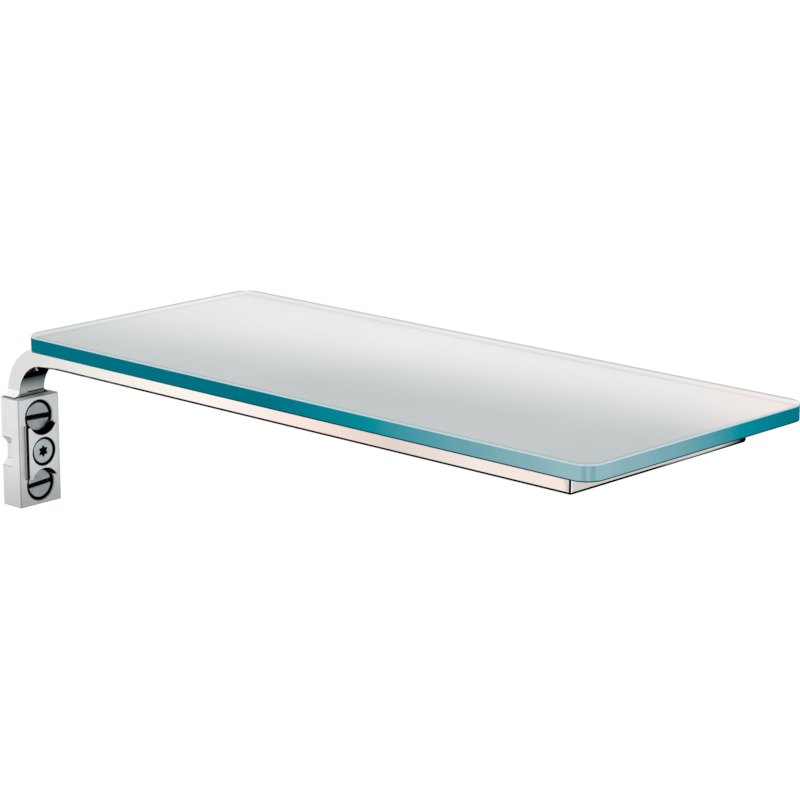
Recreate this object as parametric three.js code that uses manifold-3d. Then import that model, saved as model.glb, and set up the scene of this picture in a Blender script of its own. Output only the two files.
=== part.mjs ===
// A cantilevered glass wall shelf on one bracket, in millimetres.
//
// +X points out of the wall along the long side of the glass, +Y along the wall away from the
// bracket, +Z up. The origin is the centre of the mounting block's flat back face, which is the
// face that meets the wall.
//
// A bent chromed bar rises from the mounting block and becomes the front rail of a frame of flat
// bars. The glass plate is let into the bar's top and lies on thin bonding pads on the frame. Two slotted sleeve nuts in the block
// take the wall studs. Between them a locking jaw stands out of the block, with a black strip in
// each side groove, and a six-lobe clamp screw draws it in.

import * as THREE from 'three';
import { mergeVertices } from 'three/addons/utils/BufferGeometryUtils.js';
import Module from 'manifold-3d';

const wasm = await Module();
wasm.setup();

// ---- driving dimensions --------------------------------------------------------------------

const BLOCK = { depth: 13, width: 25, height: 53.5 };
const BAR = { width: 15.1, thickness: 8.9 };
const GLASS = { length: 349, depth: 147, thickness: 8, corner: 9, arris: 1.2 };
const GLASS_UNDERSIDE = 51;        // height of the glass's lower face above the origin
const PAD_GAP = 0.4;               // bonding film between the bars and the glass
const LET_IN_GAP = 0.3;            // round the glass where it is let into the bar
const RAIL_HEIGHT = 6.35;             // what is left of the bar below the glass
const ARM_OFFSET = -0.45;          // centre of the arm from the block's centre
const FRAME_REACH = 352.9;         // outer face of the end rail
const FRAME_DEPTH = 116.4;         // front face of the front rail to back face of the back rail
const FRAME_CORNER = 1.1;

const PIN_CLEARANCE = 0.15;        // on the radius, round every hidden pin
const JOINT_GAP = 0.2;             // between two bars, or the foot's dowels and what they meet
const FOOT_GAP = 0.4;              // shadow line between the arm's foot and the block

// The bend is a quarter ring of the bar's own thickness.
const RAIL_TOP = GLASS_UNDERSIDE - PAD_GAP;
const BAR_BOTTOM = RAIL_TOP - RAIL_HEIGHT;
const BEND_INNER = 16.9;
const BEND_OUTER = BEND_INNER + BAR.thickness;
const BEND_HEIGHT = BAR_BOTTOM - BEND_INNER;
const FOOT_FILLET = 3.2;           // the foot spreads to both sides with this radius

// The two wall nuts and their bores.
const NUT_HEIGHT = 16.65;          // above and below the origin
const NUT = { headRadius: 6.9, headTop: 12.2, headBottom: 6.8, shankRadius: 5, back: 0.6 };
const NUT_SLOT = { width: 2, depth: 1.8 };
const NUT_SLOT_TURN = { upper: -2, lower: 4 };   // degrees from level
const NUT_THREAD_RADIUS = 2.6;
const NUT_THREAD_DEPTH = 8.5;
const BORE_RADIUS = 8.25;
const BORE_FLOOR = 6.5;
const SHANK_HOLE_RADIUS = 5.2;

// The locking jaw and its clamp screw.
const JAW = { halfWidth: 8.5, halfHeight: 12.8, back: 9.3, proud: 3.4, hornRadius: 8.4 };
const JAW_FRONT = BLOCK.depth + JAW.proud;
const JAW_POCKET_FLOOR = 9;
const JAW_POCKET_GAP = 0.3;
const JAW_GROOVE = { back: 13.25, front: 15.2, depth: 1 };
const STRIP_GAP = 0.05;
const CLAMP = {
  headRadius: 5.9, headFront: 15.6, headBack: 12.4, shankRadius: 3, tip: 4.5,
  socketRadius: 2.85, socketLobe: 0.45, socketDepth: 2.4,
};
const CLAMP_COUNTERBORE = { radius: 7.1, floor: 12.2 };
const CLAMP_SHANK_HOLE_RADIUS = 3.4;
const CLAMP_THREAD = { radius: 3.15, floor: 2.5 };
const GUIDE_PIN = { radius: 1.2, y: 6.6, z: 9, back: 4.5, front: 12.3 };

// Notches on both narrow sides of the block, at the back, for the lugs of a wall plate.
const NOTCH = { reach: 6.8, depth: 3.1, mouthHalf: 7.2, floorHalf: 3.7 };

const DOWEL = { radius: 1.5, length: 10 };
const FOOT_DOWEL = { x: 4.4, y: 4.8 };
const PAD = { length: 60, width: 9, thickness: 0.36 };

const FINE = 48;                   // sides of the large round features
const COARSE = 24;                 // sides of the small ones

// ---- materials -----------------------------------------------------------------------------

const chrome = new THREE.MeshStandardMaterial({ color: 0xdedcda, roughness: 0.06, metalness: 1 });
const satinNickel = new THREE.MeshStandardMaterial({ color: 0xc8cccd, roughness: 0.35, metalness: 1 });
const steel = new THREE.MeshStandardMaterial({ color: 0x9ba3a5, roughness: 0.3, metalness: 1 });
const glass = new THREE.MeshStandardMaterial({ color: 0x7fc3c8, roughness: 0.1, metalness: 0 });
const rubber = new THREE.MeshStandardMaterial({ color: 0x101010, roughness: 0.7, metalness: 0 });
const film = new THREE.MeshStandardMaterial({ color: 0xe6ecec, roughness: 0.3, metalness: 0 });

// ---- solids --------------------------------------------------------------------------------

// A closed geometry becomes a solid that can be cut and joined.
function solidOf(geometry) {
  const bare = geometry.clone();
  bare.deleteAttribute('normal');
  bare.deleteAttribute('uv');
  const merged = mergeVertices(bare, 1e-5);
  return new wasm.Manifold(new wasm.Mesh({
    numProp: 3,
    vertProperties: new Float32Array(merged.attributes.position.array),
    triVerts: new Uint32Array(merged.index.array),
  }));
}

function geometryOf(solid) {
  const mesh = solid.getMesh();
  const geometry = new THREE.BufferGeometry();
  geometry.setAttribute('position', new THREE.BufferAttribute(mesh.vertProperties, mesh.numProp));
  geometry.setIndex(new THREE.BufferAttribute(mesh.triVerts, 1));
  geometry.computeVertexNormals();
  return geometry;
}

function cut(solid, ...tools) {
  return tools.reduce((left, tool) => left.subtract(tool), solid);
}

// A box given by its lowest and highest corners.
function box([x0, y0, z0], [x1, y1, z1]) {
  const geometry = new THREE.BoxGeometry(x1 - x0, y1 - y0, z1 - z0);
  geometry.translate((x0 + x1) / 2, (y0 + y1) / 2, (z0 + z1) / 2);
  return solidOf(geometry);
}

// A cylinder along X, from x0 to x1, round the line through y and z.
function rod(radius, x0, x1, y, z, sides = COARSE) {
  const geometry = new THREE.CylinderGeometry(radius, radius, x1 - x0, sides);
  geometry.rotateZ(-Math.PI / 2);
  geometry.translate((x0 + x1) / 2, y, z);
  return solidOf(geometry);
}

// A cylinder of the given length round the point at, along the unit vector direction.
function pin(radius, length, at, direction) {
  const geometry = new THREE.CylinderGeometry(radius, radius, length, COARSE);
  const turn = new THREE.Quaternion().setFromUnitVectors(new THREE.Vector3(0, 1, 0), direction);
  geometry.applyQuaternion(turn);
  geometry.translate(at.x, at.y, at.z);
  return solidOf(geometry);
}

// An outline in X and Z, extruded along Y.
function acrossY(shape, y0, y1, curveSegments = COARSE) {
  const geometry = new THREE.ExtrudeGeometry(shape, { depth: y1 - y0, bevelEnabled: false, curveSegments });
  geometry.rotateX(Math.PI / 2);
  geometry.translate(0, y1, 0);
  return solidOf(geometry);
}

// An outline in Y and Z, extruded along X.
function acrossX(shape, x0, x1, curveSegments = COARSE) {
  const geometry = new THREE.ExtrudeGeometry(shape, { depth: x1 - x0, bevelEnabled: false, curveSegments });
  geometry.rotateY(Math.PI / 2);
  geometry.rotateX(Math.PI / 2);
  geometry.translate(x0, 0, 0);
  return solidOf(geometry);
}

// An outline in X and Y, extruded along Z.
function acrossZ(shape, z0, z1, curveSegments = 8) {
  const geometry = new THREE.ExtrudeGeometry(shape, { depth: z1 - z0, bevelEnabled: false, curveSegments });
  geometry.translate(0, 0, z0);
  return solidOf(geometry);
}

function polygon(points) {
  return new THREE.Shape(points.map(([u, v]) => new THREE.Vector2(u, v)));
}

// ---- mounting block and what it holds --------------------------------------------------------

function sideNotch(side) {
  const face = side * (BLOCK.width / 2 + 1);
  const mouth = side * BLOCK.width / 2;
  const floor = side * (BLOCK.width / 2 - NOTCH.depth);
  const outline = polygon([
    [face, -NOTCH.mouthHalf], [mouth, -NOTCH.mouthHalf], [floor, -NOTCH.floorHalf],
    [floor, NOTCH.floorHalf], [mouth, NOTCH.mouthHalf], [face, NOTCH.mouthHalf],
  ]);
  return acrossX(outline, -1, NOTCH.reach);
}

function guidePinPlaces() {
  return [[-GUIDE_PIN.y, GUIDE_PIN.z], [GUIDE_PIN.y, -GUIDE_PIN.z]];
}

function footDowelPlaces() {
  const lift = BLOCK.height / 2 + FOOT_GAP / 2;
  return [-1, 1].map((side) => new THREE.Vector3(FOOT_DOWEL.x, side * FOOT_DOWEL.y, lift));
}

const UP = new THREE.Vector3(0, 0, 1);

function mountingBlock() {
  const { depth, width, height } = BLOCK;
  let block = box([0, -width / 2, -height / 2], [depth, width / 2, height / 2]);
  for (const z of [-NUT_HEIGHT, NUT_HEIGHT]) {
    block = cut(
      block,
      rod(BORE_RADIUS, BORE_FLOOR, depth + 1, 0, z, FINE),
      rod(SHANK_HOLE_RADIUS, -1, BORE_FLOOR + 1, 0, z, FINE),
    );
  }
  const wide = JAW.halfWidth + JAW_POCKET_GAP;
  const tall = JAW.halfHeight + JAW_POCKET_GAP;
  block = cut(
    block,
    box([JAW_POCKET_FLOOR, -wide, -tall], [depth + 1, wide, tall]),
    rod(CLAMP_THREAD.radius, CLAMP_THREAD.floor, JAW_POCKET_FLOOR + 1, 0, 0),
    sideNotch(-1),
    sideNotch(1),
  );
  for (const [y, z] of guidePinPlaces()) {
    const radius = GUIDE_PIN.radius + PIN_CLEARANCE;
    block = cut(block, rod(radius, GUIDE_PIN.back - JOINT_GAP, JAW_POCKET_FLOOR + 1, y, z));
  }
  for (const at of footDowelPlaces()) {
    block = cut(block, pin(DOWEL.radius + PIN_CLEARANCE, DOWEL.length + 2 * JOINT_GAP, at, UP));
  }
  return block;
}

function wallNut(height, slotTurn) {
  const { headRadius, headTop, headBottom, shankRadius, back } = NUT;
  const head = rod(headRadius, headBottom, headTop, 0, 0, FINE);
  const shank = rod(shankRadius, back, headBottom + 1, 0, 0, FINE);
  const thread = rod(NUT_THREAD_RADIUS, back - 1, back + NUT_THREAD_DEPTH, 0, 0);
  const slot = box(
    [headTop - NUT_SLOT.depth, -headRadius - 1, -NUT_SLOT.width / 2],
    [headTop + 1, headRadius + 1, NUT_SLOT.width / 2],
  ).rotate([slotTurn, 0, 0]);
  return cut(head.add(shank), thread, slot).translate([0, 0, height]);
}

// The jaw's ends are hollowed round the two bores, which leaves a horn at each corner.
function lockingJaw() {
  const { halfWidth, halfHeight, back, hornRadius } = JAW;
  let jaw = box([back, -halfWidth, -halfHeight], [JAW_FRONT, halfWidth, halfHeight]);
  for (const z of [-NUT_HEIGHT, NUT_HEIGHT]) {
    jaw = cut(jaw, rod(hornRadius, back - 1, JAW_FRONT + 1, 0, z, FINE));
  }
  jaw = cut(
    jaw,
    rod(CLAMP_COUNTERBORE.radius, CLAMP_COUNTERBORE.floor, JAW_FRONT + 1, 0, 0, FINE),
    rod(CLAMP_SHANK_HOLE_RADIUS, back - 1, CLAMP_COUNTERBORE.floor + 1, 0, 0),
  );
  for (const side of [-1, 1]) {
    const floor = side * (halfWidth - JAW_GROOVE.depth);
    const outside = side * (halfWidth + 1);
    jaw = cut(jaw, box(
      [JAW_GROOVE.back, Math.min(floor, outside), -halfHeight - 1],
      [JAW_GROOVE.front, Math.max(floor, outside), halfHeight + 1],
    ));
  }
  for (const [y, z] of guidePinPlaces()) {
    const radius = GUIDE_PIN.radius + PIN_CLEARANCE;
    jaw = cut(jaw, rod(radius, back - 1, GUIDE_PIN.front + JOINT_GAP, y, z));
  }
  return jaw;
}

// A black strip lies in each side groove, a hair inside it on every side.
function jawStrip(side) {
  const inner = side * (JAW.halfWidth - JAW_GROOVE.depth + STRIP_GAP);
  const outer = side * (JAW.halfWidth - STRIP_GAP);
  const reach = JAW.halfHeight - JOINT_GAP;
  const bar = box(
    [JAW_GROOVE.back + STRIP_GAP, Math.min(inner, outer), -reach],
    [JAW_GROOVE.front - STRIP_GAP, Math.max(inner, outer), reach],
  );
  const hollows = [-NUT_HEIGHT, NUT_HEIGHT].map(
    (z) => rod(JAW.hornRadius + STRIP_GAP, JAW.back, JAW_FRONT, 0, z, FINE),
  );
  return cut(bar, ...hollows);
}

// Six lobes: the radius swings in and out six times round the circle.
function sixLobeOutline() {
  const steps = 48;
  const points = Array.from({ length: steps }, (_, step) => {
    const angle = (2 * Math.PI * step) / steps;
    const radius = CLAMP.socketRadius - CLAMP.socketLobe * (1 + Math.cos(6 * angle));
    return [radius * Math.cos(angle), radius * Math.sin(angle)];
  });
  return polygon(points);
}

function clampScrew() {
  const head = rod(CLAMP.headRadius, CLAMP.headBack, CLAMP.headFront, 0, 0, FINE);
  const shank = rod(CLAMP.shankRadius, CLAMP.tip, CLAMP.headBack + 1, 0, 0);
  const socket = acrossX(sixLobeOutline(), CLAMP.headFront - CLAMP.socketDepth, CLAMP.headFront + 1);
  return cut(head.add(shank), socket);
}

function guidePin(y, z) {
  return rod(GUIDE_PIN.radius, GUIDE_PIN.back, GUIDE_PIN.front, y, z);
}

// ---- bracket arm and frame -------------------------------------------------------------------

const ARM_FRONT = ARM_OFFSET - BAR.width / 2;
const ARM_BACK = ARM_OFFSET + BAR.width / 2;
const BACK_FACE = ARM_FRONT + FRAME_DEPTH;
const INNER_RAIL_FACE = BEND_OUTER;      // where the bend has become level
const GLASS_START = BLOCK.depth + 1.5;   // the glass begins just in front of the block
const GLASS_FRONT = ARM_FRONT - 1.3;     // and stands a little proud of the front rail

// The bar's side view: up from the foot, round the bend and out to the frame's end.
function armOutline(reach) {
  const foot = BLOCK.height / 2 + FOOT_GAP;
  const shape = new THREE.Shape();
  shape.moveTo(0, foot);
  shape.lineTo(0, BEND_HEIGHT);
  shape.absarc(BEND_OUTER, BEND_HEIGHT, BEND_OUTER, Math.PI, Math.PI / 2, true);
  shape.lineTo(reach, BAR_BOTTOM + BAR.thickness);
  shape.lineTo(reach, BAR_BOTTOM);
  shape.lineTo(BEND_OUTER, BAR_BOTTOM);
  shape.absarc(BEND_OUTER, BEND_HEIGHT, BEND_INNER, Math.PI / 2, Math.PI, false);
  shape.lineTo(BAR.thickness, foot);
  shape.closePath();
  return shape;
}

// The foot seen from the front: straight sides that sweep outwards to the block.
function footOutline() {
  const foot = BLOCK.height / 2 + FOOT_GAP;
  const left = ARM_FRONT - FOOT_FILLET;
  const right = ARM_BACK + FOOT_FILLET;
  const shape = new THREE.Shape();
  shape.moveTo(left, foot);
  shape.lineTo(right, foot);
  shape.absarc(right, foot + FOOT_FILLET, FOOT_FILLET, -Math.PI / 2, -Math.PI, true);
  shape.lineTo(ARM_FRONT, foot + FOOT_FILLET);
  shape.absarc(left, foot + FOOT_FILLET, FOOT_FILLET, 0, -Math.PI / 2, true);
  shape.closePath();
  return shape;
}

// The glass from above, drawn in from its real edge by the given amount.
function glassOutline(inset) {
  const radius = GLASS.corner - inset;
  const x0 = GLASS_START + GLASS.corner;
  const x1 = GLASS_START + GLASS.length - GLASS.corner;
  const y0 = GLASS_FRONT + GLASS.corner;
  const y1 = GLASS_FRONT + GLASS.depth - GLASS.corner;
  const shape = new THREE.Shape();
  shape.absarc(x1, y0, radius, -Math.PI / 2, 0);
  shape.absarc(x1, y1, radius, 0, Math.PI / 2);
  shape.absarc(x0, y1, radius, Math.PI / 2, Math.PI);
  shape.absarc(x0, y0, radius, Math.PI, 1.5 * Math.PI);
  return shape;
}

// The frame's outline from above, with its two outer corners rounded.
function frameOutline() {
  const shape = new THREE.Shape();
  shape.moveTo(-1, ARM_FRONT);
  shape.lineTo(FRAME_REACH - FRAME_CORNER, ARM_FRONT);
  shape.absarc(FRAME_REACH - FRAME_CORNER, ARM_FRONT + FRAME_CORNER, FRAME_CORNER, -Math.PI / 2, 0);
  shape.lineTo(FRAME_REACH, BACK_FACE - FRAME_CORNER);
  shape.absarc(FRAME_REACH - FRAME_CORNER, BACK_FACE - FRAME_CORNER, FRAME_CORNER, 0, Math.PI / 2);
  shape.lineTo(-1, BACK_FACE);
  shape.closePath();
  return shape;
}

const frameEnvelope = acrossZ(frameOutline(), BLOCK.height / 2, BAR_BOTTOM + BAR.thickness + 1);

// A bar from above whose free end is cut at 45 degrees where it meets the end rail.
function mitred(face, inward) {
  const inner = face + inward * BAR.width;
  return [[FRAME_REACH - JOINT_GAP, face], [FRAME_REACH - BAR.width - JOINT_GAP, inner]];
}

const mitreCentres = [
  { at: new THREE.Vector3(FRAME_REACH - BAR.width / 2, 0, RAIL_TOP - RAIL_HEIGHT / 2), side: -1 },
  {
    at: new THREE.Vector3(FRAME_REACH - BAR.width / 2, BACK_FACE - BAR.width / 2, RAIL_TOP - RAIL_HEIGHT / 2),
    side: 1,
  },
];

// The dowel of a mitre crosses the joint squarely.
function mitreDowel({ at, side }, extra = 0) {
  const direction = new THREE.Vector3(1, -side, 0).normalize();
  return pin(DOWEL.radius + extra, DOWEL.length + 2 * extra, at, direction);
}

// The inner rail's dowels lie along it, half in the rail that it meets.
function railDowelPlaces() {
  const x = INNER_RAIL_FACE + BAR.width / 2;
  const z = RAIL_TOP - RAIL_HEIGHT / 2;
  return [
    new THREE.Vector3(x, ARM_FRONT + BAR.width + JOINT_GAP / 2, z),
    new THREE.Vector3(x, BACK_FACE - BAR.width - JOINT_GAP / 2, z),
  ];
}

const ALONG_Y = new THREE.Vector3(0, 1, 0);

function railDowel(at, extra = 0) {
  return pin(DOWEL.radius + extra, DOWEL.length + 2 * extra, at, ALONG_Y);
}

function bracketArm() {
  const top = BAR_BOTTOM + BAR.thickness + 1;
  const plan = polygon([[-1, ARM_FRONT], ...mitred(ARM_FRONT, 1), [-1, ARM_BACK]]);
  const bar = acrossY(armOutline(FRAME_REACH), ARM_FRONT, ARM_BACK, FINE)
    .intersect(acrossZ(plan, BLOCK.height / 2, top));
  const foot = acrossX(footOutline(), 0, BAR.thickness, 10)
    .intersect(acrossY(armOutline(FRAME_REACH / 2), -BLOCK.width, BLOCK.width, FINE));
  const letIn = acrossZ(glassOutline(-LET_IN_GAP), RAIL_TOP, top);
  const arm = cut(bar.intersect(frameEnvelope), letIn).add(foot);
  const dowels = footDowelPlaces().map(
    (at) => pin(DOWEL.radius + PIN_CLEARANCE, DOWEL.length + 2 * JOINT_GAP, at, UP),
  );
  return cut(
    arm,
    ...dowels,
    mitreDowel(mitreCentres[0], PIN_CLEARANCE),
    railDowel(railDowelPlaces()[0], PIN_CLEARANCE),
  );
}

function backRail() {
  const inner = BACK_FACE - BAR.width;
  const [outerEnd, innerEnd] = mitred(BACK_FACE, -1);
  const plan = polygon([
    [INNER_RAIL_FACE, inner], innerEnd, outerEnd, [INNER_RAIL_FACE, BACK_FACE],
  ]);
  return cut(
    acrossZ(plan, BAR_BOTTOM, RAIL_TOP).intersect(frameEnvelope),
    mitreDowel(mitreCentres[1], PIN_CLEARANCE),
    railDowel(railDowelPlaces()[1], PIN_CLEARANCE),
  );
}

function endRail() {
  const inner = FRAME_REACH - BAR.width;
  const plan = polygon([
    [FRAME_REACH, ARM_FRONT], [FRAME_REACH, BACK_FACE],
    [inner, BACK_FACE - BAR.width], [inner, ARM_FRONT + BAR.width],
  ]);
  return cut(
    acrossZ(plan, BAR_BOTTOM, RAIL_TOP).intersect(frameEnvelope),
    ...mitreCentres.map((centre) => mitreDowel(centre, PIN_CLEARANCE)),
  );
}

function innerRail() {
  const rail = box(
    [INNER_RAIL_FACE, ARM_FRONT + BAR.width + JOINT_GAP, BAR_BOTTOM],
    [INNER_RAIL_FACE + BAR.width, BACK_FACE - BAR.width - JOINT_GAP, RAIL_TOP],
  );
  return cut(rail, ...railDowelPlaces().map((at) => railDowel(at, PIN_CLEARANCE)));
}

// ---- glass and its pads ----------------------------------------------------------------------

function glassShelf() {
  const { thickness, arris } = GLASS;
  const geometry = new THREE.ExtrudeGeometry(glassOutline(arris), {
    depth: thickness - 2 * arris, bevelSize: arris, bevelThickness: arris, bevelSegments: 1,
    curveSegments: 10,
  });
  geometry.translate(0, 0, GLASS_UNDERSIDE + arris);
  return solidOf(geometry);
}

// Six pads: two under each long side, one on the end rail and one on the inner rail.
function padPlaces() {
  const across = (ARM_FRONT + BACK_FACE) / 2;
  const front = ARM_FRONT + BAR.width / 2;
  const back = BACK_FACE - BAR.width / 2;
  const near = INNER_RAIL_FACE + BAR.width + PAD.length;
  const far = FRAME_REACH - BAR.width - PAD.length;
  return [
    { x: near, y: front, alongX: true }, { x: far, y: front, alongX: true },
    { x: near, y: back, alongX: true }, { x: far, y: back, alongX: true },
    { x: INNER_RAIL_FACE + BAR.width / 2, y: across, alongX: false },
    { x: FRAME_REACH - BAR.width / 2, y: across, alongX: false },
  ];
}

function glassPad({ x, y, alongX }) {
  const [sizeX, sizeY] = alongX ? [PAD.length, PAD.width] : [PAD.width, PAD.length];
  const z = RAIL_TOP + (PAD_GAP - PAD.thickness) / 2;
  return box([x - sizeX / 2, y - sizeY / 2, z], [x + sizeX / 2, y + sizeY / 2, z + PAD.thickness]);
}

// ---- the assembly ----------------------------------------------------------------------------

const shelf = new THREE.Group();

function place(name, solid, material) {
  const mesh = new THREE.Mesh(geometryOf(solid), material);
  mesh.name = name;
  shelf.add(mesh);
}

place('mounting_block', mountingBlock(), satinNickel);
place('wall_nut_upper', wallNut(NUT_HEIGHT, NUT_SLOT_TURN.upper), steel);
place('wall_nut_lower', wallNut(-NUT_HEIGHT, NUT_SLOT_TURN.lower), steel);
place('locking_jaw', lockingJaw(), satinNickel);
place('jaw_strip_front', jawStrip(-1), rubber);
place('jaw_strip_back', jawStrip(1), rubber);
place('clamp_screw', clampScrew(), steel);
guidePinPlaces().forEach(([y, z], i) => place(`jaw_guide_pin_${i + 1}`, guidePin(y, z), steel));
footDowelPlaces().forEach((at, i) => {
  place(`foot_dowel_${i + 1}`, pin(DOWEL.radius, DOWEL.length, at, UP), steel);
});

place('bracket_arm', bracketArm(), chrome);
place('end_rail', endRail(), chrome);
place('back_rail', backRail(), chrome);
place('inner_rail', innerRail(), chrome);
mitreCentres.forEach((centre, i) => place(`mitre_dowel_${i + 1}`, mitreDowel(centre), steel));
railDowelPlaces().forEach((at, i) => place(`rail_dowel_${i + 1}`, railDowel(at), steel));

padPlaces().forEach((at, i) => place(`glass_pad_${i + 1}`, glassPad(at), film));
place('glass_shelf', glassShelf(), glass);

export default shelf;
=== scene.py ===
"""The finished surfaces of a cantilevered glass wall shelf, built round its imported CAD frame, in metres.

+X points out of the wall along the glass, +Y along the wall away from the bracket, +Z up.
"""

import math

import bmesh
import bpy
from bpy.props import FloatProperty, FloatVectorProperty, IntProperty, PointerProperty
from mathutils import Matrix, Vector


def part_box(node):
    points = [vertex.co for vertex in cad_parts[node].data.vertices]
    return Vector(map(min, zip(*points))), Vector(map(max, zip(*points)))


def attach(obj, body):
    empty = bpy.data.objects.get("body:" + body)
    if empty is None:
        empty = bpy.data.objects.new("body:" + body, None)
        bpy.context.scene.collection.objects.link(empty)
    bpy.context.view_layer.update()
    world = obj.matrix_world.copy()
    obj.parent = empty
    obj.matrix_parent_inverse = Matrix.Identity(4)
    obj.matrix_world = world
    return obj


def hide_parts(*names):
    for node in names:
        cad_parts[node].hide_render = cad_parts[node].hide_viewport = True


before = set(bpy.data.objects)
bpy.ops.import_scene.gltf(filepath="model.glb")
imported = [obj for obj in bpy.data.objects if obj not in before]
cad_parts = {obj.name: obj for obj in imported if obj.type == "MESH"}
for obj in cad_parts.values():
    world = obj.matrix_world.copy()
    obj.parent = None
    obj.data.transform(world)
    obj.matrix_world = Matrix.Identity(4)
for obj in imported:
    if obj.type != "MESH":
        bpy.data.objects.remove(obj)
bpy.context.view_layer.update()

bl_info = {
    "name": "Cantilevered glass wall shelf",
    "version": (1, 0, 0),
    "blender": (4, 5, 0),
    "location": "3D View > Sidebar > Wall shelf",
    "description": "Models the finished glass, bracket, block and screws of a wall shelf round its CAD frame",
    "category": "Add Mesh",
}

MM = 0.001

GLASS_LOW, GLASS_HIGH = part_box("glass_shelf")
BLOCK_LOW, BLOCK_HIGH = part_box("mounting_block")
ARM_LOW, ARM_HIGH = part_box("bracket_arm")
INNER_LOW, INNER_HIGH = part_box("inner_rail")
END_LOW, END_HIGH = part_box("end_rail")
BACK_LOW, BACK_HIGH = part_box("back_rail")
JAW_LOW, JAW_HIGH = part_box("locking_jaw")
CLAMP_LOW, CLAMP_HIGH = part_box("clamp_screw")

# What the boxes give of the bar: its width, its level part and the bend's outer radius.
BAR_WIDTH = INNER_HIGH.x - INNER_LOW.x
RAIL_TOP = INNER_HIGH.z
BAR_BOTTOM = INNER_LOW.z
BEND_OUTER = INNER_LOW.x
FOOT = ARM_LOW.z

PIN_NODES = (
    "jaw_guide_pin_1", "jaw_guide_pin_2", "foot_dowel_1", "foot_dowel_2",
    "mitre_dowel_1", "mitre_dowel_2", "rail_dowel_1", "rail_dowel_2",
)
PAD_NODES = tuple(f"glass_pad_{number}" for number in range(1, 7))
STRIP_NODES = ("jaw_strip_front", "jaw_strip_back")
ALL_AXES = Matrix.Identity(4)


# ---- sizes and colours that a user would change ---------------------------------------------------


def length(name, description, millimetres):
    return FloatProperty(
        name=name, description=description, default=millimetres * MM, min=0.0, unit="LENGTH", subtype="DISTANCE",
    )


def colour(name, description, default):
    return FloatVectorProperty(
        name=name, description=description, default=default, size=3, min=0.0, max=1.0, subtype="COLOR",
    )


class ShelfSizes(bpy.types.PropertyGroup):
    glass_corner: length("Glass corner", "Radius of the plate's four corners", 9)
    glass_arris: length("Glass arris", "Radius of the upper edge", 1.2)
    under_arris: length("Under arris", "Radius of the lower edge", 0.4)
    bar_thickness: length("Bar thickness", "Thickness of the bent bar", 8.9)
    bar_edge: length("Bar edge", "Radius of the bent bar's long edges", 0.3)
    rail_edge: length("Rail edge", "Radius of the rails' long edges", 1.5)
    frame_corner: length("Frame corner", "Radius of the frame's two outer corners", 1.1)
    foot_spread: length("Foot spread", "How far the foot flares to each side", 3.2)
    let_in_gap: length("Let-in gap", "Gap round the glass where it is let into the bar", 0.3)
    block_edge: length("Block edge", "Radius of the mounting block's edges", 0.45)
    bore_radius: length("Bore radius", "Radius of the two nut bores", 8.25)
    bore_floor: length("Bore floor", "Height of the bores' floor above the wall", 6.5)
    shank_hole: length("Shank hole", "Radius of the hole round a nut's shank", 5.2)
    nut_height: length("Nut height", "Height of a nut's axis above or below the block's centre", 16.65)
    jaw_edge: length("Jaw edge", "Radius of the jaw's edges", 0.3)
    horn_radius: length("Horn radius", "Radius of the hollows at the jaw's ends", 8.4)
    screw_edge: length("Screw edge", "Radius of the turned rims", 0.35)
    round_sides: IntProperty(
        name="Round sides", description="Flats round a full circle", default=96, min=24, max=256,
    )


class ShelfColours(bpy.types.PropertyGroup):
    # Satin glass and Far satin hold painted reflection: the milky grey is darker near the front edge and lighter near
    # the back.
    glass_satin_front_reflection: colour("Satin glass", "Satin face near its front edge", (0.445, 0.48, 0.48))
    glass_satin_back_reflection: colour("Far satin", "Satin face near its back edge", (0.76, 0.76, 0.755))
    glass_deep: colour("Deep edge", "Polished edge where it is deepest in colour", (0.0, 0.16, 0.215))
    # Middle edge and Pale edge hold painted reflection: the deep teal edge made paler towards the outer front corner.
    glass_middle_painted_light: colour("Middle edge", "Polished edge halfway to the corner", (0.001, 0.265, 0.33))
    glass_pale_painted_light: colour("Pale edge", "Polished edge where it is palest", (0.3, 0.475, 0.52))
    glass_arris: colour("Arris", "Ground arris", (0.5, 0.68, 0.74))
    chrome: colour("Chrome", "Polished chromed bars", (0.9, 0.885, 0.875))
    nickel: colour("Satin nickel", "Mounting block and jaw", (0.8, 0.815, 0.82))
    steel: colour("Turned steel", "Nuts and clamp screw", (0.72, 0.755, 0.765))
    rubber: colour("Strip", "Black strips in the jaw's grooves", (0.004, 0.004, 0.004))
    # Recess is painted shade: near-black standing in for the shadow in bores, slots, grooves, sockets and the joint
    # under the foot.
    recess_shade: colour("Recess", "Blackened bores, slots, grooves and sockets", (0.003, 0.003, 0.003))
    floor: colour("Floor", "Plain pale floor", (0.97, 0.97, 0.97))


def sizes():
    return bpy.context.scene.shelf_sizes


def colours():
    return bpy.context.scene.shelf_colours


# ---- shapes ---------------------------------------------------------------------------------------


def brick(low, high):
    """A closed box between two corners."""
    shape = bmesh.new()
    bmesh.ops.create_cube(shape, size=1.0)
    low, high = Vector(low), Vector(high)
    bmesh.ops.scale(shape, vec=high - low, verts=shape.verts)
    bmesh.ops.translate(shape, vec=(low + high) / 2, verts=shape.verts)
    return shape


def rod(radius, start, end, y=0.0, z=0.0):
    """A closed cylinder along X between start and end."""
    shape = bmesh.new()
    turn = Matrix.Rotation(math.radians(90), 4, "Y")
    place = Matrix.Translation(((start + end) / 2, y, z)) @ turn
    bmesh.ops.create_cone(
        shape, cap_ends=True, segments=sizes().round_sides, radius1=radius, radius2=radius,
        depth=end - start, matrix=place,
    )
    return shape


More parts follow.
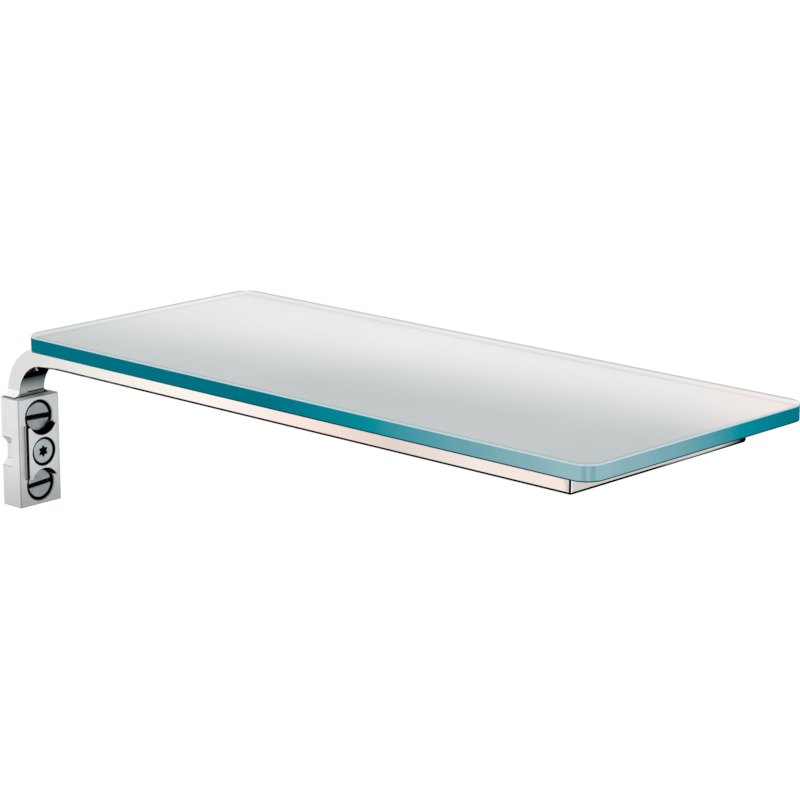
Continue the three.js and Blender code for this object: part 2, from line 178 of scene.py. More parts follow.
def prism(outline, start, end):
    """An outline of Y and Z pairs, drawn out along X between start and end."""
    shape = bmesh.new()
    corners = [shape.verts.new((start, y, z)) for y, z in outline]
    face = shape.faces.new(corners)
    drawn = bmesh.ops.extrude_face_region(shape, geom=[face], use_keep_orig=True)
    moved = [item for item in drawn["geom"] if isinstance(item, bmesh.types.BMVert)]
    bmesh.ops.translate(shape, vec=(end - start, 0, 0), verts=moved)
    bmesh.ops.recalc_face_normals(shape, faces=shape.faces)
    return shape


def turned(profile, z):
    """A solid of revolution about the X axis at height z. The profile is X and radius pairs, axis to axis."""
    shape = bmesh.new()
    points = [shape.verts.new((x, 0, radius)) for x, radius in profile]
    edges = [shape.edges.new(pair) for pair in zip(points, points[1:])]
    bmesh.ops.spin(
        shape, geom=points + edges, cent=(0, 0, 0), axis=(1, 0, 0), dvec=(0, 0, 0),
        angle=math.tau, steps=sizes().round_sides, use_merge=True,
    )
    bmesh.ops.remove_doubles(shape, verts=shape.verts, dist=1e-7)
    bmesh.ops.recalc_face_normals(shape, faces=shape.faces)
    bmesh.ops.translate(shape, vec=(0, 0, z), verts=shape.verts)
    return shape


def worked(shape, *steps):
    """Joins or cuts closed shapes one after the other: each step is UNION or DIFFERENCE and a shape."""
    made = []

    def solid(part, name):
        mesh = bpy.data.meshes.new(name)
        part.to_mesh(mesh)
        part.free()
        thing = bpy.data.objects.new(name, mesh)
        bpy.context.scene.collection.objects.link(thing)
        made.append(thing)
        return thing

    base = solid(shape, "blank")
    for number, (operation, tool) in enumerate(steps):
        modifier = base.modifiers.new(f"step_{number}", "BOOLEAN")
        modifier.operation = operation
        modifier.solver = "EXACT"
        modifier.object = solid(tool, f"tool_{number}")
    evaluated = base.evaluated_get(bpy.context.evaluated_depsgraph_get())
    result = bmesh.new()
    result.from_mesh(evaluated.to_mesh())
    evaluated.to_mesh_clear()
    for thing in made:
        mesh = thing.data
        bpy.data.objects.remove(thing)
        bpy.data.meshes.remove(mesh)
    bmesh.ops.remove_doubles(result, verts=result.verts, dist=2e-6)
    bmesh.ops.dissolve_limit(
        result, angle_limit=math.radians(0.5), verts=result.verts, edges=result.edges,
    )
    return result


def rounded(shape, edges, width, segments):
    """Rounds the given edges. The width isn't clamped, because one short edge would clamp them all."""
    bmesh.ops.bevel(
        shape, geom=edges, offset=width, offset_type="OFFSET", segments=segments, profile=0.5,
        affect="EDGES", material=-1, clamp_overlap=False,
    )
    return shape


def soften(shape, width, segments=3, sharper_than=30.0, only=None):
    """Rounds every edge that turns by more than the given degrees, or only those that a test picks."""
    limit = math.radians(sharper_than)
    chosen = [
        edge for edge in shape.edges
        if edge.is_manifold and edge.calc_face_angle() > limit and (only is None or only(edge))
    ]
    return rounded(shape, chosen, width, segments)


def upright_edges(shape):
    return [edge for edge in shape.edges if abs(edge.verts[0].co.z - edge.verts[1].co.z) > MM]


def rounded_plate(low, high, corner):
    """A plate with its four upright edges rounded."""
    plate = brick(low, high)
    return rounded(plate, upright_edges(plate), corner, 16)


def paint_shade_black(shape, inside):
    """Puts the second material, the near-black painted shade, on the faces whose middle passes the test."""
    for face in shape.faces:
        face.material_index = 1 if inside(face.calc_center_median()) else 0


def finished(name, shape, materials, body, slot, *replaced):
    """Makes the piece's object, rides it on its body and hides the CAD nodes that it stands for."""
    mesh = bpy.data.meshes.new(name)
    shape.to_mesh(mesh)
    shape.free()
    for material in materials:
        mesh.materials.append(material)
    mesh.shade_smooth()
    mesh.set_sharp_from_angle(angle=math.radians(40))
    piece = bpy.data.objects.new(name, mesh)
    bpy.context.scene.collection.objects.link(piece)
    normals = piece.modifiers.new("face_weighted", "WEIGHTED_NORMAL")
    normals.weight = 100
    normals.keep_sharp = True
    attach(piece, body)
    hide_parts(*replaced)
    return piece


# ---- materials ------------------------------------------------------------------------------------


class Finish:
    """A material built up node by node round one Principled shader."""

    def __init__(self, name, base, roughness, metallic=0.0):
        self.material = bpy.data.materials.new(name)
        self.material.use_nodes = True
        self.tree = self.material.node_tree
        self.shader = self.tree.nodes["Principled BSDF"]
        self.shader.inputs["Base Color"].default_value = (*base, 1.0)
        self.shader.inputs["Roughness"].default_value = roughness
        self.shader.inputs["Metallic"].default_value = metallic
        self.place = self.add("ShaderNodeTexCoord").outputs["Object"]

    def add(self, kind, inputs=(), **settings):
        node = self.tree.nodes.new(kind)
        for key, value in settings.items():
            setattr(node, key, value)
        for key, value in dict(inputs).items():
            if isinstance(value, bpy.types.NodeSocket):
                self.tree.links.new(value, node.inputs[key])
            else:
                node.inputs[key].default_value = value
        return node

    def link(self, output, name):
        self.tree.links.new(output, self.shader.inputs[name])

    def noise(self, scale, detail=3.0, stretch=(1, 1, 1)):
        mapping = self.add("ShaderNodeMapping", {"Vector": self.place, "Scale": stretch})
        settings = {"Vector": mapping.outputs["Vector"], "Scale": scale, "Detail": detail}
        return self.add("ShaderNodeTexNoise", settings).outputs["Fac"]

    def ranged(self, value, low, high, start=0.3, end=0.7, smooth=False):
        settings = {"Value": value, "From Min": start, "From Max": end, "To Min": low, "To Max": high}
        kind = "SMOOTHSTEP" if smooth else "LINEAR"
        return self.add("ShaderNodeMapRange", settings, interpolation_type=kind).outputs["Result"]

    def mixed(self, factor, first, second):
        node = self.add("ShaderNodeMix", data_type="RGBA")
        pairs = (("Factor_Float", factor), ("A_Color", first), ("B_Color", second))
        for identifier, value in pairs:
            socket = next(item for item in node.inputs if item.identifier == identifier)
            if isinstance(value, bpy.types.NodeSocket):
                self.tree.links.new(value, socket)
            else:
                socket.default_value = value if identifier == "Factor_Float" else (*value, 1.0)
        return next(item for item in node.outputs if item.identifier == "Result_Color")

    def sums(self, operation, first, second):
        return self.add("ShaderNodeMath", {0: first, 1: second}, operation=operation).outputs[0]

    def axes(self):
        split = self.add("ShaderNodeSeparateXYZ", {"Vector": self.place})
        return split.outputs["X"], split.outputs["Y"], split.outputs["Z"]

    def bump(self, height, strength, distance):
        settings = {"Height": height, "Strength": strength, "Distance": distance}
        self.link(self.add("ShaderNodeBump", settings).outputs["Normal"], "Normal")


def shaded(base, factor):
    return tuple(channel * factor for channel in base)


def chrome_finish():
    """Mirror polish with a very faint haze and the odd polishing streak."""
    base = colours().chrome
    finish = Finish("polished_chrome", base, 0.04, metallic=1.0)
    haze = finish.noise(90.0)
    streaks = finish.noise(2600.0, stretch=(0.06, 1, 1))
    finish.link(finish.mixed(finish.ranged(haze, 0, 1), base, shaded(base, 0.97)), "Base Color")
    finish.link(finish.ranged(finish.sums("MULTIPLY", haze, streaks), 0.025, 0.075, 0.1, 0.4), "Roughness")
    finish.bump(streaks, 0.01, 0.02 * MM)
    return finish.material


def nickel_and_painted_shade_finish(name, base, roughness, face=1.0):
    """Satin plating: a fine even grain and dull patches, with painted shade making it darker low down, on top and on
    the front face.
    """
    finish = Finish(name, base, roughness, metallic=0.3)
    patches = finish.noise(120.0)
    grain = finish.noise(7000.0, detail=2.0)
    out, _, height = finish.axes()
    # Painted shade: darker low down, most of all on the front face.
    low = finish.ranged(height, 1, 0, BLOCK_LOW.z, 0.05 * BLOCK_LOW.z, smooth=True)
    # Painted shade on the top face.
    top = finish.ranged(height, 0, 1, BLOCK_HIGH.z - 0.3 * MM, BLOCK_HIGH.z - 0.05 * MM)
    # Painted shade: the front face takes the base scaled by the face argument.
    front = finish.ranged(out, 0, 1, BLOCK_HIGH.x - 0.3 * MM, BLOCK_HIGH.x - 0.05 * MM)
    tone = finish.mixed(finish.ranged(patches, 0, 1), base, shaded(base, 0.96))
    tone = finish.mixed(front, tone, shaded(base, face))
    share = finish.ranged(front, 0.35, 0.75, 0.0, 1.0)
    tone = finish.mixed(finish.sums("MULTIPLY", low, share), tone, shaded(base, 0.45))
    finish.link(finish.mixed(top, tone, shaded(base, 0.78)), "Base Color")
    finish.link(finish.ranged(patches, roughness - 0.03, roughness + 0.05), "Roughness")
    finish.shader.inputs["Specular IOR Level"].default_value = 0.1
    finish.bump(grain, 0.12, 0.03 * MM)
    return finish.material


def steel_finish(name, base, z):
    """Turned steel: fine rings round the axis at height z."""
    finish = Finish(name, base, 0.32, metallic=1.0)
    centred = finish.add("ShaderNodeMapping", {"Vector": finish.place, "Location": (0, 0, -z), "Scale": (0, 1, 1)})
    radius = finish.add("ShaderNodeVectorMath", {0: centred.outputs["Vector"]}, operation="LENGTH").outputs["Value"]
    rings = finish.sums("SINE", finish.sums("MULTIPLY", radius, 26000.0), 0.0)
    patches = finish.noise(260.0)
    finish.link(finish.mixed(finish.ranged(patches, 0, 1), base, shaded(base, 0.82)), "Base Color")
    finish.link(finish.ranged(patches, 0.27, 0.4), "Roughness")
    finish.bump(rings, 0.06, 0.01 * MM)
    return finish.material


def ground_steel_finish():
    """Plain ground steel of the hidden pins."""
    base = colours().steel
    finish = Finish("ground_steel", base, 0.3, metallic=1.0)
    lines = finish.noise(3000.0, stretch=(1, 1, 0.1))
    finish.link(finish.mixed(finish.ranged(lines, 0, 1), base, shaded(base, 0.85)), "Base Color")
    finish.bump(lines, 0.05, 0.01 * MM)
    return finish.material


def satin_glass_finish():
    """The plate's satin face: a milky grey with a paler band just inside the arris, painted reflection running from
    darker at the front to lighter at the back, a painted warm reflection near the outer end, and darker within 22 mm of
    the back edge.
    """
    base = colours().glass_satin_front_reflection
    finish = Finish("satin_glass", base, 0.28)
    x, y, _ = finish.axes()
    left = finish.sums("SUBTRACT", x, GLASS_LOW.x)
    back = finish.sums("SUBTRACT", GLASS_HIGH.y, y)
    rim = finish.sums("MINIMUM", left, back)
    band = finish.ranged(rim, 0.35, 0, 8.0 * MM, 9.5 * MM, smooth=True)
    line = finish.sums("MULTIPLY", finish.ranged(rim, 0, 0.1, 8.0 * MM, 9.0 * MM), finish.ranged(rim, 1, 0, 11.0 * MM, 12.5 * MM))
    outline = finish.ranged(rim, 1, 0, 2.7 * MM, 3.7 * MM)
    clouds = finish.noise(9.0, detail=2.0)
    # Painted reflection: the satin face goes from darker near the front edge to lighter near the back.
    along = finish.sums("SUBTRACT", y, finish.sums("MULTIPLY", x, 0.13))
    tone = finish.mixed(finish.ranged(along, 0, 1, -0.02, 0.095, smooth=True), base, colours().glass_satin_back_reflection)
    tone = finish.mixed(finish.ranged(back, 0.12, 0, 0.0, 0.022, smooth=True), tone, (0, 0, 0))
    tone = finish.mixed(finish.ranged(clouds, 0, 0.04), tone, (0, 0, 0))
    # Painted reflection: a warm patch near the plate's outer end.
    warm_painted_reflection = finish.sums("MULTIPLY", finish.ranged(x, 0, 0.6, 0.3, 0.355), finish.ranged(y, 0, 1, 0.06, 0.12))
    tone = finish.mixed(warm_painted_reflection, tone, (0.86, 0.74, 0.7))
    tone = finish.mixed(band, tone, (0.8, 0.81, 0.81))
    tone = finish.mixed(line, tone, (0, 0, 0))
    finish.link(finish.mixed(outline, tone, (0.42, 0.42, 0.42)), "Base Color")
    finish.shader.inputs["Specular IOR Level"].default_value = 0.25
    finish.link(finish.ranged(clouds, 0.24, 0.34), "Roughness")
    finish.bump(finish.noise(5200.0, detail=2.0), 0.05, 0.02 * MM)
    return finish.material


def made_corner():
    """X plus Y halfway round the plate's outer front corner."""
    return GLASS_HIGH.x + GLASS_LOW.y


def glass_edge_finish():
    """The polished edge: deep teal far from the outer front corner, with painted reflection making it paler towards the
    corner, painted reflection in stripes either side of the corner, and painted shade along its bottom.
    """
    shades = colours()
    finish = Finish("polished_glass_edge", shades.glass_deep, 0.08)
    x, y, z = finish.axes()
    # Painted reflection: the edge pales from deep teal towards the outer front corner.
    middle = finish.sums(
        "MULTIPLY", finish.ranged(x, 0, 1, 0.18, 0.25), finish.ranged(y, 1, 0.15, 0.085, 0.125),
    )
    near = finish.sums("MULTIPLY", finish.ranged(y, 1, 0.6, GLASS_LOW.y, 0.045), finish.ranged(y, 1, 0, 0.045, 0.088))
    pale = finish.sums("MULTIPLY", finish.ranged(x, 0, 1, 0.245, 0.355), near)
    tone = finish.mixed(middle, shades.glass_deep, shades.glass_middle_painted_light)
    tone = finish.mixed(pale, tone, shades.glass_pale_painted_light)
    # Painted reflection in two stripes either side of the outer front corner.
    across = finish.sums("ADD", x, y)
    corner = made_corner()
    first = finish.ranged(across, 0, 1, corner - 4.2 * MM, corner - 3.2 * MM)
    second = finish.ranged(across, 1, 0, corner - 1.8 * MM, corner - 0.8 * MM)
    third = finish.ranged(across, 0, 1, corner + 0.8 * MM, corner + 1.6 * MM)
    fourth = finish.ranged(across, 1, 0, corner + 3.4 * MM, corner + 4.6 * MM)
    corner_painted_reflection = finish.sums("ADD", finish.sums("MULTIPLY", first, second), finish.sums("MULTIPLY", third, fourth))
    tone = finish.mixed(finish.sums("MULTIPLY", corner_painted_reflection, 0.35), tone, shades.glass_middle_painted_light)
    ripple = finish.noise(60.0, stretch=(1, 1, 0.3))
    tone = finish.mixed(finish.ranged(ripple, 0, 0.08), tone, shades.glass_deep)
    # Painted shade along the bottom of the edge, stronger towards the outer end.
    under = finish.ranged(z, 1, 0, GLASS_LOW.z + 0.55 * MM, GLASS_LOW.z + 0.7 * MM)
    under = finish.sums("MULTIPLY", under, finish.ranged(x, 0.1, 0.95, 0.04, 0.2))
    finish.link(finish.mixed(under, tone, (0, 0.03, 0.035)), "Base Color")
    finish.shader.inputs["IOR"].default_value = 1.52
    finish.shader.inputs["Specular IOR Level"].default_value = 0.0
    finish.bump(finish.noise(700.0, stretch=(1, 1, 0.2)), 0.02, 0.02 * MM)
    return finish.material


def glass_arris_finish():
    """The ground arris, pale and slightly matt."""
    base = colours().glass_arris
    finish = Finish("ground_glass_arris", base, 0.35)
    specks = finish.noise(900.0)
    finish.link(finish.mixed(finish.ranged(specks, 0, 1), base, shaded(base, 0.9)), "Base Color")
    finish.bump(specks, 0.05, 0.02 * MM)
    return finish.material


def painted_recess_shade_finish():
    """Painted shade: a near-black surface standing in for the shadow in the bores, slots, grooves and sockets."""
    base = colours().recess_shade
    finish = Finish("painted_shade_recess", base, 0.85)
    grain = finish.noise(3000.0)
    finish.link(finish.mixed(finish.ranged(grain, 0, 1), base, shaded(base, 0.5)), "Base Color")
    finish.shader.inputs["Specular IOR Level"].default_value = 0.02
    finish.bump(grain, 0.1, 0.02 * MM)
    return finish.material


def rubber_finish():
    base = colours().rubber
    finish = Finish("black_strip", base, 0.75)
    pores = finish.noise(4000.0)
    finish.link(finish.mixed(finish.ranged(pores, 0, 1), base, shaded(base, 0.5)), "Base Color")
    finish.shader.inputs["Specular IOR Level"].default_value = 0.03
    finish.bump(pores, 0.2, 0.03 * MM)
    return finish.material


def film_finish():
    finish = Finish("bonding_film", (0.78, 0.8, 0.8), 0.3)
    waves = finish.noise(300.0)
    finish.link(finish.mixed(finish.ranged(waves, 0, 1), (0.8, 0.82, 0.82), (0.7, 0.73, 0.74)), "Base Color")
    finish.bump(waves, 0.05, 0.05 * MM)
    return finish.material


# ---- pieces ---------------------------------------------------------------------------------------


def glass_plate():
    """The plate: rounded corners, a rounded ground arris above and a just broken edge below."""
    made = sizes()
    plate = rounded_plate(GLASS_LOW, GLASS_HIGH, made.glass_corner)
    middle = (GLASS_LOW.z + GLASS_HIGH.z) / 2
    soften(plate, made.glass_arris, 5, 80, lambda edge: edge.verts[0].co.z > middle and edge.verts[1].co.z > middle)
    soften(plate, made.under_arris, 2, 80)
    satin, polished, ground = 0, 1, 2
    for face in plate.faces:
        rise = face.normal.z
        face.material_index = satin if rise > 0.55 or rise < -0.9 else ground if rise > 0.1 else polished
    finishes = [satin_glass_finish(), glass_edge_finish(), glass_arris_finish()]
    return finished("glass_plate", plate, finishes, "bracket", "shelf_glass", "glass_shelf")


def carried_on(shape, faces, shift, keep=False):
    """Draws the faces out by a shift and gives the new end faces. Only the first faces of all are kept."""
    drawn = bmesh.ops.extrude_face_region(shape, geom=faces, use_keep_orig=True)["geom"]
    verts = [item for item in drawn if isinstance(item, bmesh.types.BMVert)]
    bmesh.ops.translate(shape, vec=shift, verts=verts)
    if not keep:
        bmesh.ops.delete(shape, geom=faces, context="FACES_ONLY")
    return [item for item in drawn if isinstance(item, bmesh.types.BMFace)]


def squeezed(shape, faces, centre, scale):
    """Scales the end faces about a point."""
    verts = list({vert for face in faces for vert in face.verts})
    bmesh.ops.scale(shape, vec=scale, verts=verts, space=Matrix.Translation(-Vector(centre)))


def bent_bar(front):
    """The bar: a foot that spreads to both sides, the leg, the bend, and a stub that enters the frame."""
    made = sizes()
    thick, spread = made.bar_thickness, made.foot_spread
    middle = front + BAR_WIDTH / 2
    half = BAR_WIDTH / 2
    shape = bmesh.new()
    wide = half + spread
    section = ((0.0, middle - wide), (thick, middle - wide), (thick, middle + wide), (0.0, middle + wide))
    last = [shape.faces.new([shape.verts.new((x, y, FOOT)) for x, y in section])]
    bmesh.ops.reverse_faces(shape, faces=last)
    shape.faces.ensure_lookup_table()
    steps = 14
    height = 0.0
    for step in range(2, steps + 1):
        angle = math.radians(90) * step / steps
        rise = spread * (1 - math.cos(angle))
        narrow = half + spread * (1 - math.sin(angle))
        last = carried_on(shape, last, (0, 0, rise - height), keep=step == 2)
        squeezed(shape, last, (0, middle, 0), (1, narrow / wide, 1))
        height, wide = rise, narrow
    bend_height = BAR_BOTTOM - (BEND_OUTER - thick)
    last = carried_on(shape, last, (0, 0, bend_height - FOOT - height))
    swept = bmesh.ops.spin(
        shape, geom=last, cent=(BEND_OUTER, 0, bend_height), axis=(0, 1, 0), dvec=(0, 0, 0),
        angle=math.radians(90), steps=made.round_sides // 2,
    )["geom_last"]
    inner = last
    last = [item for item in swept if isinstance(item, bmesh.types.BMFace)]
    bmesh.ops.delete(shape, geom=[face for face in inner if face.is_valid], context="FACES_ONLY")
    last = carried_on(shape, last, (0, 0, 0))
    squeezed(shape, last, (0, middle, BAR_BOTTOM + thick / 2), (1, 0.7, 0.35))
    carried_on(shape, last, (0.3 * BAR_WIDTH, 0, 0))
    bmesh.ops.recalc_face_normals(shape, faces=shape.faces)
    return shape


def flat_frame(front):
    """The four rails as one ring of flat bar, its two outer corners rounded."""
    made = sizes()
    ring = brick((BEND_OUTER, front, BAR_BOTTOM), (END_HIGH.x, BACK_HIGH.y, RAIL_TOP))
    corners = [edge for edge in upright_edges(ring) if edge.verts[0].co.x > BAR_WIDTH + BEND_OUTER]
    rounded(ring, corners, made.frame_corner, 10)
    opening = brick(
        (BEND_OUTER + BAR_WIDTH, front + BAR_WIDTH, BAR_BOTTOM - MM),
        (END_HIGH.x - BAR_WIDTH, BACK_HIGH.y - BAR_WIDTH, RAIL_TOP + MM),
    )
    ring = worked(ring, ("DIFFERENCE", opening))
    middle = (BAR_BOTTOM + RAIL_TOP) / 2
    left = BEND_OUTER + 0.1 * MM
    soften(
        ring, made.rail_edge, 6,
        only=lambda edge: max(vert.co.z for vert in edge.verts) < middle and max(vert.co.x for vert in edge.verts) > left,
    )
    everything = [*ring.verts, *ring.edges, *ring.faces]
    run_out = (BEND_OUTER + 12 * MM, 0, 0)
    bmesh.ops.bisect_plane(ring, geom=everything, plane_co=run_out, plane_no=(1, 0, 0), dist=1e-7)
    corner = Vector((BEND_OUTER, front, BAR_BOTTOM))
    reach = made.rail_edge * 1.1
    ends = [
        vert for vert in ring.verts
        if vert.co.x < left and vert.co.y < front + reach and vert.co.z < BAR_BOTTOM + reach
    ]
    sharper = made.bar_edge / made.rail_edge
    bmesh.ops.scale(ring, vec=(1, sharper, sharper), verts=ends, space=Matrix.Translation(-corner))
    return ring


def foot_neck(front):
    """The neck under the foot, which is all that shows in the joint with the block; the bracket gives it the near-black
    painted shadow.
    """
    inset, spread = 0.25 * MM, sizes().foot_spread
    return brick(
        (inset, front - spread + inset, BLOCK_HIGH.z + 0.05 * MM),
        (sizes().bar_thickness, front + BAR_WIDTH + spread - inset, FOOT + 0.1 * MM),
    )


def glass_recess():
    """The space that the glass and the gap round it take out of the bar's top."""
    gap = sizes().let_in_gap
    return rounded_plate(
        (GLASS_LOW.x - gap, GLASS_LOW.y - gap, RAIL_TOP),
        (GLASS_HIGH.x + gap, GLASS_HIGH.y + gap, GLASS_HIGH.z),
        sizes().glass_corner + gap,
    )


def bracket_and_frame():
    """Bent bar, foot and rails, brazed and polished into one piece."""
    front = BACK_HIGH.y - (BACK_HIGH.y - INNER_HIGH.y) * 2 - (INNER_HIGH.y - INNER_LOW.y)
    bar = soften(
        bent_bar(front), sizes().bar_edge, 3,
        only=lambda edge: min(vert.co.z for vert in edge.verts) > FOOT + 0.8 * MM
        and max(vert.co.x for vert in edge.verts) < BEND_OUTER + 0.1 * MM
        and min(vert.co.x for vert in edge.verts) < BEND_OUTER - 0.1 * MM
        and abs(edge.verts[0].co.y - edge.verts[1].co.y) < 0.5 * BAR_WIDTH,
    )
    shape = worked(
        bar, ("UNION", flat_frame(front)), ("UNION", foot_neck(front)), ("DIFFERENCE", glass_recess()),
    )
    thick = sizes().bar_thickness
    # Painted shadow: the neck under the foot takes the near-black recess colour.
    paint_shade_black(shape, lambda middle: middle.z < FOOT - 0.02 * MM and middle.x < thick - 0.05 * MM)
    # Painted reflection: the leg's outward faces just above the foot take a flat dark satin grey in place of the
    # chrome's mirror.
    painted_reflection_below = FOOT + 1.0 * MM
    for face in shape.faces:
        if face.normal.x > 0.9 and face.calc_center_median().x < thick + 0.05 * MM \
                and max(vert.co.z for vert in face.verts) < painted_reflection_below + 0.6 * MM:
            face.material_index = 2
    satin = nickel_and_painted_shade_finish("painted_reflection_foot", (0.3, 0.31, 0.315), 0.45)
    return finished(
        "bracket_and_frame", shape, [chrome_finish(), painted_recess_shade_finish(), satin], "bracket", "chrome",
        "bracket_arm", "end_rail", "back_rail", "inner_rail",
    )


def mounting_block():
    """The block with its two bores, the jaw's pocket, the screw hole and the side notches."""
    made = sizes()
    steps = []
    for z in (-made.nut_height, made.nut_height):
        steps.append(("DIFFERENCE", rod(made.bore_radius, made.bore_floor, BLOCK_HIGH.x + MM, z=z)))
        steps.append(("DIFFERENCE", rod(made.shank_hole, -MM, made.bore_floor + MM, z=z)))
    gap = 0.3 * MM
    pocket = brick((JAW_LOW.x - gap, JAW_LOW.y - gap, JAW_LOW.z - gap), (BLOCK_HIGH.x + MM, JAW_HIGH.y + gap, JAW_HIGH.z + gap))
    steps.append(("DIFFERENCE", pocket))
    steps.append(("DIFFERENCE", rod(3.15 * MM, 2.5 * MM, JAW_HIGH.x)))
    mouth, floor, depth, reach = 7.2 * MM, 3.7 * MM, 3.1 * MM, 6.8 * MM
    for side in (-1, 1):
        edge = side * BLOCK_HIGH.y
        outline = (
            (edge + side * MM, -mouth), (edge, -mouth), (edge - side * depth, -floor),
            (edge - side * depth, floor), (edge, mouth), (edge + side * MM, mouth),
        )
        steps.append(("DIFFERENCE", prism(outline, -MM, reach)))
    shape = worked(brick(BLOCK_LOW, BLOCK_HIGH), *steps)
    soften(shape, made.block_edge)

    def inside(middle):
        bore = Vector((middle.y, abs(middle.z) - made.nut_height)).length < made.bore_radius + 0.05 * MM
        wide = max(abs(middle.y) - JAW_HIGH.y, abs(middle.z) - JAW_HIGH.z) < gap + 0.05 * MM
        return 0.6 * MM < middle.x < BLOCK_HIGH.x - 0.4 * MM and (bore or wide)

    # Painted shade in the bores, shank holes, the jaw's pocket and the screw hole.
    paint_shade_black(shape, inside)
    # Painted shade: the rounded edges take a darker copy of the nickel.
    for face in shape.faces:
        narrow = min(edge.calc_length() for edge in face.edges) < made.block_edge
        if face.material_index == 0 and narrow and max(abs(part) for part in face.normal) < 0.97:
            face.material_index = 2
    # The block's front face gets painted shade at 0.97 of the nickel.
    finish = nickel_and_painted_shade_finish("satin_nickel_block", colours().nickel, 0.34, 0.97)
    edge = nickel_and_painted_shade_finish("painted_shade_nickel_edge", shaded(colours().nickel, 0.62), 0.34)
    return finished("block_body", shape, [finish, painted_recess_shade_finish(), edge], "bracket", "block_nickel", "mounting_block")


def locking_jaw():
    """The jaw: hollow ends round the two bores, a counterbore for the screw and a groove down each side."""
    made = sizes()
    steps = [
        ("DIFFERENCE", rod(made.horn_radius, 0, BLOCK_HIGH.x + 5 * MM, z=z))
        for z in (-made.nut_height, made.nut_height)
    ]
    steps.append(("DIFFERENCE", rod(7.1 * MM, 12.2 * MM, JAW_HIGH.x + MM)))
    steps.append(("DIFFERENCE", rod(3.4 * MM, 0, 13 * MM)))
    for strip in STRIP_NODES:
        low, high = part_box(strip)
        gap = 0.05 * MM
        outwards = MM if low.y > 0 else 0.0
        inwards = 0.0 if low.y > 0 else MM
        groove = brick(
            (low.x - gap, low.y - gap - inwards, JAW_LOW.z - MM), (high.x + gap, high.y + gap + outwards, JAW_HIGH.z + MM),
        )
        steps.append(("DIFFERENCE", groove))
    shape = worked(brick(JAW_LOW, JAW_HIGH), *steps)
    soften(shape, made.jaw_edge)
    groove_low, groove_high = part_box(STRIP_NODES[1])

    def inside(middle):
        horn = Vector((middle.y, abs(middle.z) - made.nut_height)).length < made.horn_radius + 0.05 * MM
        counterbore = middle.yz.length < 7.15 * MM and middle.x < JAW_HIGH.x - made.jaw_edge
        groove = groove_low.x < middle.x < groove_high.x and abs(middle.y) < JAW_HIGH.y - 0.1 * MM
        return horn or counterbore or groove

    # Painted shade in the hollow ends, the counterbore, the screw hole and the grooves.
    paint_shade_black(shape, inside)
    # The jaw's front face gets painted shade at 0.95 of the nickel.
    finish = nickel_and_painted_shade_finish("satin_nickel_jaw", colours().nickel, 0.3, 0.95)
    return finished("jaw_body", shape, [finish, painted_recess_shade_finish()], "jaw", "jaw_nickel", "locking_jaw")


def wall_nut(node, body, slot_turn):
    """A sleeve nut: a slotted round head on a shank with a blind stud hole."""
    made = sizes()
    low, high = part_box(node)
    centre = (low.z + high.z) / 2
    head, shank, hole = (high.y - low.y) / 2, 5 * MM, 2.6 * MM
    under_head = 6.8 * MM
    profile = (
        (low.x + 8.5 * MM, 0), (low.x + 8.5 * MM, hole), (low.x, hole), (low.x, shank),
        (under_head, shank), (under_head, head), (high.x, head), (high.x, 0),
    )
    slot = brick((high.x - 1.8 * MM, -2 * head, -MM), (high.x + MM, 2 * head, MM))
    turn = Matrix.Translation((0, 0, centre)) @ Matrix.Rotation(math.radians(slot_turn), 4, "X")
    bmesh.ops.transform(slot, matrix=turn, verts=slot.verts)
    shape = worked(turned(profile, centre), ("DIFFERENCE", slot))
    soften(shape, made.screw_edge)

    def inside(middle):
        near = Vector((middle.y, middle.z - centre)).length < head - 0.4 * MM
        return near and high.x - 1.9 * MM < middle.x < high.x - 0.3 * MM

    # Painted shade in the slot.
    paint_shade_black(shape, inside)
    finish = steel_finish(f"turned_steel_{node}", colours().steel, centre)
    return finished(f"{node}_turned", shape, [finish, painted_recess_shade_finish()], body, "screw_steel", node)


def clamp_screw():
    """The clamp screw: a flat round head with a six-lobe socket."""
    low, high = CLAMP_LOW, CLAMP_HIGH
    head, shank, under_head = high.y, 3 * MM, 12.4 * MM
    profile = ((low.x, 0), (low.x, shank), (under_head, shank), (under_head, head), (high.x, head), (high.x, 0))
    mean, swing, depth = 2.4 * MM, 0.45 * MM, 2.4 * MM
    steps = 96
    outline = []
    for step in range(steps):
        angle = math.tau * step / steps
        radius = mean - swing * math.cos(6 * angle)
        outline.append((radius * math.cos(angle), radius * math.sin(angle)))
    socket = prism(outline, high.x - depth, high.x + MM)
    shape = worked(turned(profile, 0.0), ("DIFFERENCE", socket))
    soften(shape, sizes().screw_edge, only=lambda edge: edge.verts[0].co.yz.length > 1.2 * shank)
    # Painted shade in the socket.
    paint_shade_black(shape, lambda middle: middle.x > under_head and middle.x < high.x - 0.05 * MM and middle.yz.length < shank)
    finish = steel_finish("turned_steel_clamp_screw", shaded(colours().steel, 1.33), 0.0)
    return finished("clamp_screw_turned", shape, [finish, painted_recess_shade_finish()], "clamp_screw", "screw_steel", "clamp_screw")


def coat_nodes(names, material):
    """Gives CAD nodes whose shape is right their finish."""
    for name in names:
        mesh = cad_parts[name].data
        mesh.materials.clear()
        mesh.materials.append(material)


# ---- stage ----------------------------------------------------------------------------------------

CAMERA_PLACE = Vector((1.07462, -0.87151, 0.36029))
CAMERA_AZIMUTH = math.radians(43.357)
CAMERA_ELEVATION = math.radians(13.83)
CAMERA_LENS = 131.6
FLOOR_HEIGHT = -1.2
FLOOR_SIZE = 60.0


